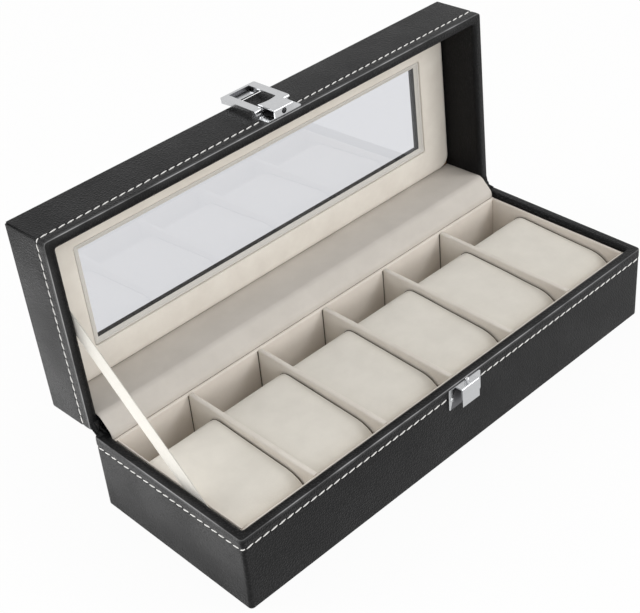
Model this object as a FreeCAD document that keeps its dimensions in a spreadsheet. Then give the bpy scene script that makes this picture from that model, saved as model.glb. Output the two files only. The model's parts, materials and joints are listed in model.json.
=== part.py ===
import FreeCAD, Part
import os
import re
import Sketcher

# Hinged watch box: leathercloth over boards, a glazed lid, six cushions between velvet dividers.
# The frame: +X along the length, +Y to the hinge side, +Z up, origin under the middle of the base.
# The lid is drawn closed about the hinge line, and its placement swings it to the open stop.

SIZES = [
    ("box_length", 300.0, "outside length"),
    ("box_depth", 109.0, "outside depth, front to back"),
    ("base_height", 44.8, "underside to base rim"),
    ("lid_height", 32.0, "lid rim to lid top"),
    ("rim_gap", 0.4, "gap between the two rims when shut"),
    ("open_angle", 92.0, "swing of the lid from shut to its stop"),
    ("hinge_setback", 1.7, "hinge line behind the back face"),
    ("leather", 0.8, "leathercloth"),
    ("board", 4.4, "wall boards"),
    ("floor_board", 3.0, "board under the compartments"),
    ("top_board", 4.0, "board round the window"),
    ("corner_round", 2.0, "round of the upright edges"),
    ("rim_round", 0.6, "round of the leather over a rim"),
    ("felt", 0.6, "felt under the base"),
    ("felt_margin", 2.0, "felt edge inside the outer face"),
    ("base_turn_in", 12.0, "leather folded down inside the base"),
    ("glue_gap", 0.1, "play round glued pieces"),
    ("lining", 2.0, "padded lining of the base walls"),
    ("lining_drop", 2.4, "top of the lining under the rim"),
    ("lining_round", 0.8, "round of the lining's top edge"),
    ("floor_lining", 1.5, "lining of the floor"),
    ("divider", 3.0, "covered divider card"),
    ("divider_drop", 2.4, "top of a divider under the rim"),
    ("divider_round", 1.2, "round of a divider's top edge"),
    ("cushion_play", 1.0, "gap from a cushion to a divider"),
    ("cushion_front_play", 0.8, "gap from a cushion to the front lining"),
    ("cushion_under_play", 0.3, "gap from a cushion to the floor lining"),
    ("cushion_gap", 17.4, "room behind a cushion"),
    ("cushion_drop", 4.4, "crown of a cushion under the rim"),
    ("cushion_crown", 0.9, "rise from the end seams to the crown"),
    ("cushion_draw", 0.7, "seam ends drawn in, front and back"),
    ("cushion_slope", 9.0, "crown's fall to each end seam, along X"),
    ("cushion_front_round", 17.0, "round of the cushion's front"),
    ("cushion_back_round", 8.0, "round of the cushion's back"),
    ("cushion_foot_round", 3.0, "round of the cushion's lower edges"),
    ("cushion_cover", 1.2, "velvet cover with its wadding"),
    ("foam_play", 0.15, "play of the foam in its cover"),
    ("frame_ends", 29.0, "window in from the ends of the lid"),
    ("frame_front", 26.75, "window in from the front and back of the lid"),
    ("pane", 2.0, "glass"),
    ("pane_lap", 6.0, "glass held round the window"),
    ("panel_face", 1.6, "lid lining under the glass"),
    ("lining_reveal", 1.6, "lid lining back from the window, all round"),
    ("bezel_gap", 0.4, "slit round the bezel"),
    ("bezel_drop", 0.3, "bezel under the face of the lid lining"),
    ("hinge_cloth", 0.8, "cloth over the inside of the hinge"),
    ("hinge_cloth_tail", 9.0, "hinge cloth glued down inside the base"),
    ("hinge_cloth_rise", 0.5, "hinge cloth over the inner edges of the rims"),
    ("spine_leg", 12.0, "spine leather glued to each back face"),
    ("spine_margin", 3.0, "spine short of the box ends"),
    ("ribbon_width", 10.0, "stay ribbon"),
    ("ribbon", 0.4, "stay ribbon, thickness"),
    ("ribbon_base_place", 36.5, "ribbon at the base, behind the front face"),
    ("ribbon_base_drop", 3.6, "ribbon at the base, under the rim"),
    ("ribbon_lid_place", 47.0, "ribbon at the lid, behind the front face"),
    ("ribbon_lid_rise", 3.4, "ribbon at the lid, above the rim"),
    ("ribbon_tail", 9.0, "ribbon glued down past each of those points"),
    ("clasp_sheet", 0.8, "clasp and catch sheet"),
    ("clasp_wing", 5.6, "clasp and catch plates each side of the fold"),
    ("clasp_height", 12.4, "clasp and catch plates, up"),
    ("clasp_rim", 1.0, "plates back from their rims"),
    ("channel_width", 12.8, "clasp box and catch hook, along X"),
    ("channel_reach", 5.0, "clasp box and catch hook, out from the face"),
    ("clasp_scoop", 1.0, "hollow of the clasp box's free edge"),
    ("hook_height", 11.3, "flap of the catch hook"),
    ("metal_bend", 1.0, "outer bend of the clasp sheet"),
    ("pin_diameter", 1.5, "clasp pin"),
    ("pin_inset", 2.3, "clasp pin in from the plate's free edge"),
    ("pin_clear", 0.55, "gap from the rolled barrel to the plate"),
    ("pin_play", 0.05, "running clearance on the pin"),
    ("knuckle", 0.6, "sheet rolled round the pin"),
    ("bail_sheet", 0.7, "bail sheet"),
    ("bail_arm", 5.0, "bail arms, along X"),
    ("bail_reach", 26.0, "pin to the bail's tip"),
    ("bail_play", 0.5, "bail arms clear of the clasp box"),
    ("bail_tip", 1.7, "bail's tip bar"),
    ("bail_depth", 2.8, "fold of the bail at its tip"),
    ("bail_root_depth", 1.3, "fold of the bail at its arms' roots"),
    ("bail_root", 2.6, "start of the fold from the pin"),
    ("lip_reach", 7.2, "finger lip folded back from the tip"),
    ("lip_inset", 2.9, "finger lip in from the bail's sides"),
    ("pip_diameter", 2.6, "pip on the catch"),
    ("pip_height", 3.2, "pip above the catch"),
    ("eye_play", 0.3, "eye of the clasp box round the pip"),
    ("rivet_inset", 2.0, "rivets in from the plate's ends"),
    ("rivet_head", 2.6, "rivet head"),
    ("rivet_rise", 0.6, "rivet head, rise"),
    ("rivet_bevel", 0.4, "bevel of the rivet head"),
    ("rivet_shank", 1.4, "rivet shank"),
    ("rivet_length", 3.0, "rivet shank behind the plate"),
    ("rivet_play", 0.05, "play round the shank"),
]
COMPARTMENTS = 6
SAME_PLACE = 0.001  # mm, for finding an edge by where it lies
START, END, CENTRE = range(1, 4)  # the points of a sketch's line, arc or circle
ORIGIN = (-1, START)  # a sketch's own origin

doc = FreeCAD.newDocument("WatchBox")
sheet = doc.addObject("Spreadsheet::Sheet", "Sizes")
for row, (alias, size, meaning) in enumerate(SIZES, start=1):
    sheet.set(f"A{row}", meaning)
    sheet.set(f"B{row}", str(size))
    sheet.setAlias(f"B{row}", alias)
doc.recompute()

ALIASES = re.compile(r"\b(" + "|".join(alias for alias, size, meaning in SIZES) + r")\b")
nodes = {}


def linked(formula):
    return ALIASES.sub(r"Sizes.\1", formula)


def value(formula):
    return float(sheet.evalExpression(linked(formula)))


def tie(item, prop, formula):
    item.setExpression(prop, linked(formula))


# Places that several pieces share, worked out from the sheet.
half_length = "(box_length / 2)"
half_depth = "(box_depth / 2)"
board_x = f"({half_length} - leather)"
board_y = f"({half_depth} - leather)"
wall_x = f"({board_x} - board)"
wall_y = f"({board_y} - board)"
clear_x = f"({wall_x} - leather)"
clear_y = f"({wall_y} - leather)"
lined_x = f"({clear_x} - lining)"
front_lined = f"({clear_y} - lining)"
back_cloth = f"({clear_y} - hinge_cloth)"
back_lined = f"({back_cloth} - lining)"
board_top = "(base_height - leather)"
floor_top = "(felt + floor_board)"
floor_lined = f"({floor_top} + floor_lining)"
lining_top = "(base_height - lining_drop)"
bay_width = f"((2 * {lined_x} - {COMPARTMENTS - 1} * divider) / {COMPARTMENTS})"
bay_pitch = f"({bay_width} + divider)"
hinge_y = f"({half_depth} + hinge_setback)"
hinge_z = "(base_height + rim_gap / 2)"
lid_mid = f"(-{hinge_y})"
lid_rim = "(rim_gap / 2)"
lid_top = f"({lid_rim} + lid_height)"
lid_ceiling = f"({lid_top} - leather - top_board)"
lid_face = f"({lid_ceiling} - pane - panel_face)"
lid_front = f"({lid_mid} - {half_depth})"
window_length = "(box_length - 2 * frame_ends)"
window_depth = "(box_depth - 2 * frame_front)"
lining_length = f"({window_length} + 2 * lining_reveal)"
lining_depth = f"({window_depth} + 2 * lining_reveal)"
clasp_width = "(channel_width + 2 * clasp_wing)"
clasp_middle = "(clasp_rim + clasp_height / 2)"
rivet_place = f"({clasp_width} / 2 - rivet_inset)"
eye_reach = "(channel_reach / 2)"
knuckle_radius = "(pin_diameter / 2 + pin_play + knuckle)"
pin_y = f"({lid_front} - clasp_sheet - pin_clear - {knuckle_radius})"
pin_z = f"({lid_rim} + clasp_rim + clasp_height - pin_inset)"
arm_in = "(channel_width / 2 + bail_play)"
arm_out = f"({arm_in} + bail_arm)"


def new_body(label, on_lid=False):
    body = doc.addObject("PartDesign::Body", label)
    body.Label = label
    nodes[label] = body
    if on_lid:
        swing(body)
    return body


def swing(item):
    # The hinge line is the lid's own X axis.
    item.Placement = FreeCAD.Placement(FreeCAD.Vector(), FreeCAD.Rotation(FreeCAD.Vector(-1, 0, 0), 1))
    tie(item, "Placement.Base.y", hinge_y)
    tie(item, "Placement.Base.z", hinge_z)
    tie(item, "Placement.Rotation.Angle", "open_angle")


def sketch_on(body, plane, offset):
    sketch = body.newObject("Sketcher::SketchObject", f"{body.Label}_sketch")
    support = [item for item in body.Origin.OriginFeatures if item.Role == plane][0]
    sketch.AttachmentSupport = [(support, "")]
    sketch.MapMode = "FlatFace"
    tie(sketch, "AttachmentOffset.Base.z", offset)
    return sketch


def place(sketch, kind, geometry, point, formula):
    number = sketch.addConstraint(Sketcher.Constraint(kind, *ORIGIN, geometry, point, value(formula)))
    tie(sketch, f"Constraints[{number}]", formula)


def outline(body, plane, corners, offset="0"):
    # A closed outline of upright and level sides. Each corner is (across, up) or (across, up, radius),
    # taken anticlockwise.
    sketch = sketch_on(body, plane, offset)
    draw_outline(sketch, corners)
    return sketch


def draw_outline(sketch, corners):
    first = sketch.GeometryCount
    count = len(corners)
    points = [FreeCAD.Vector(value(c[0]), value(c[1]), 0) for c in corners]
    radii = [value(c[2]) if len(c) > 2 else 0.0 for c in corners]
    ways = [(points[(i + 1) % count] - points[i]).normalize() for i in range(count)]
    for i in range(count):
        after = (i + 1) % count
        start = points[i] + ways[i] * radii[i]
        end = points[after] - ways[i] * radii[after]
        sketch.addGeometry(Part.LineSegment(start, end))
    arcs = {}
    for i in range(count):
        if radii[i]:
            before = ways[i - 1]
            centre = points[i] + (ways[i] - before) * radii[i]
            middle = centre + (before - ways[i]).normalize() * radii[i]
            start = points[i] - before * radii[i]
            end = points[i] + ways[i] * radii[i]
            arcs[i] = sketch.addGeometry(Part.Arc(start, middle, end))
    for i in range(count):
        line = first + i
        upright = abs(ways[i].x) < abs(ways[i].y)
        sketch.addConstraint(Sketcher.Constraint("Vertical" if upright else "Horizontal", line))
        previous = first + (i - 1) % count
        if i in arcs:
            turns_left = ways[i - 1].cross(ways[i]).z > 0
            start, end = (START, END) if turns_left else (END, START)
            sketch.addConstraint(Sketcher.Constraint("Tangent", previous, END, arcs[i], start))
            sketch.addConstraint(Sketcher.Constraint("Tangent", line, START, arcs[i], end))
            number = sketch.addConstraint(Sketcher.Constraint("Radius", arcs[i], radii[i]))
            tie(sketch, f"Constraints[{number}]", corners[i][2])
        else:
            sketch.addConstraint(Sketcher.Constraint("Coincident", previous, END, line, START))
    for i in range(count):
        upright = abs(ways[i].x) < abs(ways[i].y)
        if upright:
            place(sketch, "DistanceX", first + i, START, corners[i][0])
        else:
            place(sketch, "DistanceY", first + i, START, corners[i][1])


def rectangle(left, right, low, high, *radius):
    return [(left, low, *radius), (right, low, *radius), (right, high, *radius), (left, high, *radius)]


def circle(sketch, across, up, radius):
    spot = FreeCAD.Vector(value(across), value(up), 0)
    ring = sketch.addGeometry(Part.Circle(spot, FreeCAD.Vector(0, 0, 1), value(radius)))
    number = sketch.addConstraint(Sketcher.Constraint("Radius", ring, value(radius)))
    tie(sketch, f"Constraints[{number}]", radius)
    place(sketch, "DistanceX", ring, CENTRE, across)
    place(sketch, "DistanceY", ring, CENTRE, up)


def pad(body, sketch, length, both_ways=False, backwards=False):
    feature = body.newObject("PartDesign::Pad", f"{body.Label}_pad")
    feature.Profile = sketch
    feature.SideType = "Symmetric" if both_ways else "One side"
    feature.Reversed = backwards
    tie(feature, "Length", length)
    return feature


def pocket(body, sketch, length, both_ways=False, backwards=False):
    feature = body.newObject("PartDesign::Pocket", f"{body.Label}_pocket")
    feature.Profile = sketch
    feature.SideType = "Symmetric" if both_ways else "One side"
    feature.Reversed = backwards
    tie(feature, "Length", length)
    return feature


def round_edges(body, chosen, radius):
    doc.recompute()
    tip = body.Tip
    feature = body.newObject("PartDesign::Fillet", f"{body.Label}_round")
    feature.Base = (tip, edge_names(tip, chosen))
    tie(feature, "Radius", radius)
    return feature


def bevel_edges(body, chosen, size):
    doc.recompute()
    tip = body.Tip
    feature = body.newObject("PartDesign::Chamfer", f"{body.Label}_bevel")
    feature.Base = (tip, edge_names(tip, chosen))
    tie(feature, "Size", size)
    return feature


def edge_names(feature, chosen):
    # chosen tells by an edge's end points whether it is taken.
    edges = enumerate(feature.Shape.Edges, start=1)
    return [f"Edge{number}" for number, edge in edges if chosen([v.Point for v in edge.Vertexes])]


def lies_at(axis, place):
    where = value(place)
    return lambda ends: all(abs(getattr(end, axis) - where) < SAME_PLACE for end in ends)


def slab(label, across, along, up, on_lid=False):
    # A flat board, card or sheet between three pairs of faces.
    body = new_body(label, on_lid)
    sketch = outline(body, "XY_Plane", rectangle(*across, *along), up[0])
    pad(body, sketch, f"{up[1]} - {up[0]}")
    return body


def wall_boards(prefix, low, high, middle="0", on_lid=False):
    # Front and back boards run the full length, and the end boards stand between them.
    front = (f"{middle} - {board_y}", f"{middle} - {wall_y}")
    back = (f"{middle} + {wall_y}", f"{middle} + {board_y}")
    between = (f"{middle} - {wall_y}", f"{middle} + {wall_y}")
    slab(f"{prefix}_front_board", (f"-{board_x}", board_x), front, (low, high), on_lid)
    slab(f"{prefix}_back_board", (f"-{board_x}", board_x), back, (low, high), on_lid)
    slab(f"{prefix}_left_board", (f"-{board_x}", f"-{wall_x}"), between, (low, high), on_lid)
    slab(f"{prefix}_right_board", (wall_x, board_x), between, (low, high), on_lid)


def base_carcass():
    wall_boards("base", "felt", board_top)
    slab("base_floor_board", (f"-{wall_x}", wall_x), (f"-{wall_y}", wall_y), ("felt", floor_top))
    across = (f"felt_margin - {half_length}", f"{half_length} - felt_margin")
    along = (f"felt_margin - {half_depth}", f"{half_depth} - felt_margin")
    slab("underside_felt", across, along, ("0", "felt"))


def base_leather():
    # Leather over the outside, the rim and the top of the inside of the walls.
    body = new_body("base_leather")
    outside = rectangle(f"-{half_length}", half_length, f"-{half_depth}", half_depth, "corner_round")
    pad(body, outline(body, "XY_Plane", outside, "felt"), "base_height - felt")
    round_edges(body, lies_at("z", "base_height"), "rim_round")
    inside = rectangle(f"-{clear_x}", clear_x, f"-{clear_y}", clear_y)
    pocket(body, outline(body, "XY_Plane", inside, "base_height"), "base_height - felt")
    walls = outline(body, "XY_Plane", rectangle(f"-{board_x}", board_x, f"-{board_y}", board_y), "felt")
    draw_outline(walls, rectangle(f"-{wall_x}", wall_x, f"-{wall_y}", wall_y))
    pocket(body, walls, f"{board_top} - felt", backwards=True)
    fold = outline(body, "XY_Plane", rectangle(f"-{wall_x}", wall_x, f"-{wall_y}", wall_y), "felt")
    pocket(body, fold, "base_height - base_turn_in - felt", backwards=True)
    height = f"(base_height - {clasp_middle})"
    rivet_holes(body, height, f"-{half_depth}", "leather")
    rivet_holes(nodes["base_front_board"], height, f"-{board_y}", "board")


def rivet_holes(body, height, face, depth):
    sketch = sketch_on(body, "XZ_Plane", f"-({face})")
    for side in ("-", ""):
        circle(sketch, f"{side}{rivet_place}", height, "rivet_shank / 2 + rivet_play")
    pocket(body, sketch, depth)


def base_linings():
    slab("floor_lining", (f"-{wall_x}", wall_x), (f"-{wall_y}", wall_y), (floor_top, floor_lined))
    upright = (f"{floor_lined}", lining_top)
    ends = (f"-{clear_x}", clear_x)
    between = (f"-{front_lined}", back_lined)
    slab("front_lining", ends, (f"-{clear_y}", f"-{front_lined}"), upright)
    slab("back_lining", ends, (back_lined, back_cloth), upright)
    slab("right_lining", (lined_x, clear_x), between, upright)
    left = slab("left_lining", (f"-{clear_x}", f"-{lined_x}"), between, upright)
    inner_faces = {
        "front_lining": ("y", f"-{front_lined}"),
        "back_lining": ("y", back_lined),
        "left_lining": ("x", f"-{lined_x}"),
        "right_lining": ("x", lined_x),
    }
    for name, (axis, face) in inner_faces.items():
        round_edges(nodes[name], long_top_edge(axis, face), "lining_round")
    # The stay ribbon's tail lies in a shallow seat behind the left lining.
    seat_front = f"(ribbon_base_place - {half_depth} - ribbon_tail - ribbon_width)"
    seat_back = f"(ribbon_base_place - {half_depth} + ribbon_width)"
    seat_low = f"({lining_top} - ribbon_tail - ribbon_width)"
    seat = rectangle(seat_front, seat_back, seat_low, "base_height")
    pocket(left, outline(left, "YZ_Plane", seat, f"-{clear_x}"), "ribbon + 2 * glue_gap", backwards=True)


def long_top_edge(axis, face):
    # The lining's top edge that faces the compartments.
    at_top = lies_at("z", lining_top)
    at_face = lies_at(axis, face)
    return lambda ends: at_top(ends) and at_face(ends)


def dividers():
    # Covered cards with a rounded top edge, evenly spaced between the end linings.
    for number in range(1, COMPARTMENTS):
        body = new_body(f"divider_{number}")
        left = f"({number} * {bay_pitch} - divider - {lined_x})"
        right = f"({number} * {bay_pitch} - {lined_x})"
        top = "(base_height - divider_drop)"
        shape = [
            (left, floor_lined),
            (right, floor_lined),
            (right, top, "divider_round"),
            (left, top, "divider_round"),
        ]
        sketch = outline(body, "XZ_Plane", shape, front_lined)
        pad(body, sketch, f"{front_lined} + {back_lined}", backwards=True)


def cushion_outline(inset_top, inset_ends, shrink):
    front = f"(cushion_front_play - {front_lined} + {inset_ends} + ({shrink}))"
    back = f"({back_lined} - cushion_gap - {inset_ends} - ({shrink}))"
    low = f"({floor_lined} + cushion_under_play + ({shrink}))"
    high = f"(base_height - cushion_drop - {inset_top} - ({shrink}))"
    return [
        (front, low, "cushion_foot_round"),
        (back, low, "cushion_foot_round"),
        (back, high, "cushion_back_round"),
        (front, high, "cushion_front_round"),
    ]


def cushions():
    # Velvet covers, crowned and drawn in to two flat end panels, each round a firm foam block.
    half_width = f"({bay_width} / 2 - cushion_play)"
    seam = cushion_outline("cushion_crown", "cushion_draw", "0")
    crown = cushion_outline("0", "0", "0")
    hollow = cushion_outline("cushion_crown", "cushion_draw", "cushion_cover")
    block = cushion_outline("cushion_crown", "cushion_draw", "cushion_cover + foam_play")
    for number in range(1, COMPARTMENTS + 1):
        middle = f"({number} * {bay_pitch} - divider - {bay_width} / 2 - {lined_x})"
        foam = new_body(f"cushion_{number}_foam")
        sketch = outline(foam, "YZ_Plane", block, middle)
        pad(foam, sketch, f"2 * ({half_width} - cushion_cover - foam_play)", both_ways=True)
        cover = new_body(f"cushion_{number}_cover")
        sections = [
            outline(cover, "YZ_Plane", seam, f"{middle} - {half_width}"),
            outline(cover, "YZ_Plane", crown, f"{middle} - {half_width} + cushion_slope"),
            outline(cover, "YZ_Plane", crown, f"{middle} + {half_width} - cushion_slope"),
            outline(cover, "YZ_Plane", seam, f"{middle} + {half_width}"),
        ]
        loft = cover.newObject("PartDesign::AdditiveLoft", f"{cover.Label}_loft")
        loft.Profile = sections[0]
        loft.Sections = sections[1:]
        loft.Ruled = True
        sketch = outline(cover, "YZ_Plane", hollow, middle)
        pocket(cover, sketch, f"2 * ({half_width} - cushion_cover)", both_ways=True)


def lid_carcass():
    low = f"({lid_rim} + leather)"
    wall_boards("lid", low, lid_ceiling, lid_mid, on_lid=True)
    along = (f"{lid_mid} - {board_y}", f"{lid_mid} + {board_y}")
    across = (f"-{board_x}", board_x)
    top = slab("lid_top_board", across, along, (lid_ceiling, f"{lid_top} - leather"), on_lid=True)
    hole = window(f"{window_length} + 2 * leather", f"{window_depth} + 2 * leather")
    pocket(top, outline(top, "XY_Plane", hole, lid_top), "top_board + leather")


def window(length, depth):
    along = (f"{lid_mid} - ({depth}) / 2", f"{lid_mid} + ({depth}) / 2")
    return rectangle(f"-({length}) / 2", f"({length}) / 2", *along)


def lid_leather():
    # Leather over the top, the walls, the rim, the inside of the walls and the edges of the window.
    body = new_body("lid_leather", on_lid=True)
    along = (f"{lid_mid} - {half_depth}", f"{lid_mid} + {half_depth}")
    outside = rectangle(f"-{half_length}", half_length, *along, "corner_round")
    pad(body, outline(body, "XY_Plane", outside, lid_rim), "lid_height")
    at_rim = lies_at("z", lid_rim)
    at_top = lies_at("z", lid_top)
    round_edges(body, lambda ends: at_rim(ends) or at_top(ends), "rim_round")
    wide = (f"{lid_mid} - {clear_y}", f"{lid_mid} + {clear_y}")
    inside = outline(body, "XY_Plane", rectangle(f"-{clear_x}", clear_x, *wide), lid_rim)
    pocket(body, inside, f"{lid_face} - {lid_rim}", backwards=True)
    panel = (f"{lid_mid} - {wall_y}", f"{lid_mid} + {wall_y}")
    behind = outline(body, "XY_Plane", rectangle(f"-{wall_x}", wall_x, *panel), lid_face)
    pocket(body, behind, f"{lid_ceiling} - {lid_face}", backwards=True)
    full = (f"{lid_mid} - {board_y}", f"{lid_mid} + {board_y}")
    walls = outline(body, "XY_Plane", rectangle(f"-{board_x}", board_x, *full), f"{lid_rim} + leather")
    draw_outline(walls, rectangle(f"-{wall_x}", wall_x, *panel))
    pocket(body, walls, f"{lid_ceiling} - {lid_rim} - leather", backwards=True)
    tops = outline(body, "XY_Plane", rectangle(f"-{board_x}", board_x, *full), lid_ceiling)
    draw_outline(tops, window(f"{window_length} + 2 * leather", f"{window_depth} + 2 * leather"))
    pocket(body, tops, "top_board", backwards=True)
    clear = outline(body, "XY_Plane", window(window_length, window_depth), lid_top)
    pocket(body, clear, "top_board + leather")
    height = f"({lid_rim} + {clasp_middle})"
    rivet_holes(body, height, lid_front, "leather")
    rivet_holes(nodes["lid_front_board"], height, f"{lid_front} + leather", "board")


def lid_glazing():
    under = f"({lid_ceiling} - pane)"
    pane = new_body("window_pane", on_lid=True)
    glass = window(f"{window_length} + 2 * pane_lap", f"{window_depth} + 2 * pane_lap")
    pad(pane, outline(pane, "XY_Plane", glass, under), "pane")
    # The padded lining panel laps the glass and holds it up against the board.
    panel = new_body("lid_lining_panel", on_lid=True)
    whole = window(f"2 * ({wall_x} - glue_gap)", f"2 * ({wall_y} - glue_gap)")
    pad(panel, outline(panel, "XY_Plane", whole, lid_face), "pane + panel_face")
    lap = "2 * (pane_lap + glue_gap)"
    seat = window(f"{window_length} + {lap}", f"{window_depth} + {lap}")
    pocket(panel, outline(panel, "XY_Plane", seat, lid_ceiling), "pane")
    pocket(panel, outline(panel, "XY_Plane", window(lining_length, lining_depth), under), "panel_face")
    bezel = new_body("window_bezel", on_lid=True)
    edge = window(f"{lining_length} - 2 * bezel_gap", f"{lining_depth} - 2 * bezel_gap")
    ring = outline(bezel, "XY_Plane", edge, f"{lid_face} + bezel_drop")
    draw_outline(ring, window(window_length, window_depth))
    pad(bezel, ring, "panel_face - bezel_drop")


def rivets(label, height, face, on_lid):
    # Two flat rivets through the plate into the board.
    body = new_body(label, on_lid)
    out = f"-({face}) + clasp_sheet"
    for side in ("-", ""):
        shank = sketch_on(body, "XZ_Plane", out)
        circle(shank, f"{side}{rivet_place}", height, "rivet_shank / 2")
        pad(body, shank, "clasp_sheet + rivet_length", backwards=True)
        head = sketch_on(body, "XZ_Plane", out)
        circle(head, f"{side}{rivet_place}", height, "rivet_head / 2")
        pad(body, head, "rivet_rise")
    bevel_edges(body, lies_at("y", f"{face} - clasp_sheet - rivet_rise"), "rivet_bevel")


def clasp_plate(body, low, face):
    # The plate lies on the leather, out to the sheet's thickness.
    half = f"({clasp_width} / 2)"
    sides = rectangle(f"-{half}", half, low, f"({low} + clasp_height)", "metal_bend")
    pad(body, outline(body, "XZ_Plane", sides, f"-({face})"), "clasp_sheet")
    rivet_holes(body, f"({low} + clasp_height / 2)", f"{face} - clasp_sheet", "clasp_sheet")


def catch():
    # The hook on the base: a plate whose middle is folded out, over and down.
    body = new_body("catch_bracket")
    face = f"-{half_depth}"
    high = "(base_height - clasp_rim)"
    clasp_plate(body, f"({high} - clasp_height)", face)
    near = f"({face} - channel_reach)"
    root = f"({face} - clasp_sheet / 2)"
    hook = [
        (near, f"({high} - hook_height)"),
        (f"({near} + clasp_sheet)", f"({high} - hook_height)"),
        (f"({near} + clasp_sheet)", f"({high} - clasp_sheet)"),
        (root, f"({high} - clasp_sheet)"),
        (root, high),
        (near, high, "metal_bend"),
    ]
    pad(body, outline(body, "YZ_Plane", hook), "channel_width", both_ways=True)
    pip = new_body("catch_pip")
    stem = sketch_on(pip, "XY_Plane", high)
    circle(stem, "0", f"{face} - {eye_reach}", "pip_diameter / 2")
    pad(pip, stem, "pip_height - pip_diameter / 2")
    dome = pip.newObject("PartDesign::AdditiveSphere", "catch_pip_dome")
    tie(dome, "Radius", "pip_diameter / 2")
    tie(dome, "Placement.Base.y", f"{face} - {eye_reach}")
    tie(dome, "Placement.Base.z", f"{high} + pip_height - pip_diameter / 2")
    rivets("catch_rivets", f"(base_height - {clasp_middle})", face, on_lid=False)


def clasp():
    # The box on the lid: a plate, an end wall with an eye, a scooped cover and a rolled barrel.
    body = new_body("clasp_body", on_lid=True)
    low = f"({lid_rim} + clasp_rim)"
    high = f"({low} + clasp_height)"
    clasp_plate(body, low, lid_front)
    near = f"({lid_front} - channel_reach)"
    root = f"({lid_front} - clasp_sheet / 2)"
    cover = [
        (near, low, "metal_bend"),
        (root, low),
        (root, f"({low} + clasp_sheet)"),
        (f"({near} + clasp_sheet)", f"({low} + clasp_sheet)"),
        (f"({near} + clasp_sheet)", high),
        (near, high),
    ]
    pad(body, outline(body, "YZ_Plane", cover), "channel_width", both_ways=True)
    eye = sketch_on(body, "XY_Plane", low)
    circle(eye, "0", f"{lid_front} - {eye_reach}", "pip_diameter / 2 + eye_play")
    pocket(body, eye, "clasp_sheet", backwards=True)
    # The scoop is an arc through the cover's two corners.
    scoop = sketch_on(body, "XZ_Plane", f"-{near}")
    bow = "((channel_width ^ 2 / 4 + clasp_scoop ^ 2) / (2 * clasp_scoop))"
    circle(scoop, "0", f"{high} - clasp_scoop + {bow}", bow)
    pocket(body, scoop, "clasp_sheet")
    barrel_length = "(channel_width - bail_play)"
    barrel = sketch_on(body, "YZ_Plane", "0")
    circle(barrel, pin_y, pin_z, knuckle_radius)
    pad(body, barrel, barrel_length, both_ways=True)
    web_top = f"({pin_z} + {knuckle_radius})"
    web = rectangle(pin_y, root, f"({web_top} - knuckle)", web_top)
    pad(body, outline(body, "YZ_Plane", web), barrel_length, both_ways=True)
    bore = sketch_on(body, "YZ_Plane", "0")
    circle(bore, pin_y, pin_z, "pin_diameter / 2 + pin_play")
    pocket(body, bore, "channel_width", both_ways=True)
    pin = new_body("clasp_pin", on_lid=True)
    rod = sketch_on(pin, "YZ_Plane", "0")
    circle(rod, pin_y, pin_z, "pin_diameter / 2")
    pad(pin, rod, f"2 * {arm_out}", both_ways=True)
    rivets("clasp_rivets", f"({lid_rim} + {clasp_middle})", lid_front, on_lid=True)


def clasp_bail():
    # A folded frame on the pin: two arms, a tip bar, tapering side folds and a finger lip.
    body = new_body("clasp_bail", on_lid=True)
    face = f"({pin_y} - {knuckle_radius})"
    under = f"({face} + bail_depth)"
    tip = f"({pin_z} + bail_reach)"
    frame = [
        (f"-{arm_out}", pin_z),
        (f"-{arm_in}", pin_z),
        (f"-{arm_in}", f"({tip} - bail_tip)"),
        (arm_in, f"({tip} - bail_tip)"),
        (arm_in, pin_z),
        (arm_out, pin_z),
        (arm_out, tip, "metal_bend"),
        (f"-{arm_out}", tip, "metal_bend"),
    ]
    pad(body, outline(body, "XZ_Plane", frame, f"-{face}"), "bail_sheet", backwards=True)
    for side in ("-", ""):
        knuckles = sketch_on(body, "YZ_Plane", f"{side}({arm_in} + bail_arm / 2)")
        circle(knuckles, pin_y, pin_z, knuckle_radius)
        pad(body, knuckles, "bail_arm", both_ways=True)
        fold_side(body, side, face, tip)
    end_fold = rectangle(face, under, f"({tip} - bail_sheet)", tip)
    pad(body, outline(body, "YZ_Plane", end_fold), f"2 * ({arm_out} - metal_bend)", both_ways=True)
    lip = rectangle(f"({under} - bail_sheet)", under, f"({tip} - lip_reach)", tip)
    pad(body, outline(body, "YZ_Plane", lip), f"2 * ({arm_out} - lip_inset)", both_ways=True)
    bore = sketch_on(body, "YZ_Plane", "0")
    circle(bore, pin_y, pin_z, "pin_diameter / 2 + pin_play")
    pocket(body, bore, f"2 * {arm_out}", both_ways=True)


def fold_side(body, side, face, tip):
    # The fold is shallow at the arm's root and deep at the tip.
    sketch = sketch_on(body, "YZ_Plane", f"{side}({arm_out} - bail_sheet / 2)")
    root = f"({pin_z} + bail_root)"
    corners = [
        (face, root),
        (f"({face} + bail_root_depth)", root),
        (f"({face} + bail_depth)", f"({tip} - metal_bend)"),
        (face, f"({tip} - metal_bend)"),
    ]
    spots = [FreeCAD.Vector(value(y), value(z), 0) for y, z in corners]
    for i, spot in enumerate(spots):
        sketch.addGeometry(Part.LineSegment(spot, spots[(i + 1) % len(spots)]))
    for i, (y, z) in enumerate(corners):
        before = (i - 1) % len(corners)
        sketch.addConstraint(Sketcher.Constraint("Coincident", before, END, i, START))
        place(sketch, "DistanceX", i, START, y)
        place(sketch, "DistanceY", i, START, z)
    pad(body, sketch, "bail_sheet", both_ways=True)


def strip(label, path, width, middle="0"):
    # A soft strip of even thickness along X, given as a flat outline in the plane across the hinge.
    item = doc.addObject("Part::Feature", label)
    item.Label = label
    face = Part.Face(path)
    length = value(width)
    item.Shape = face.extrude(FreeCAD.Vector(length, 0, 0))
    item.Placement = FreeCAD.Placement(FreeCAD.Vector(value(middle) - length / 2, 0, 0), FreeCAD.Rotation())
    nodes[label] = item
    return item


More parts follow.
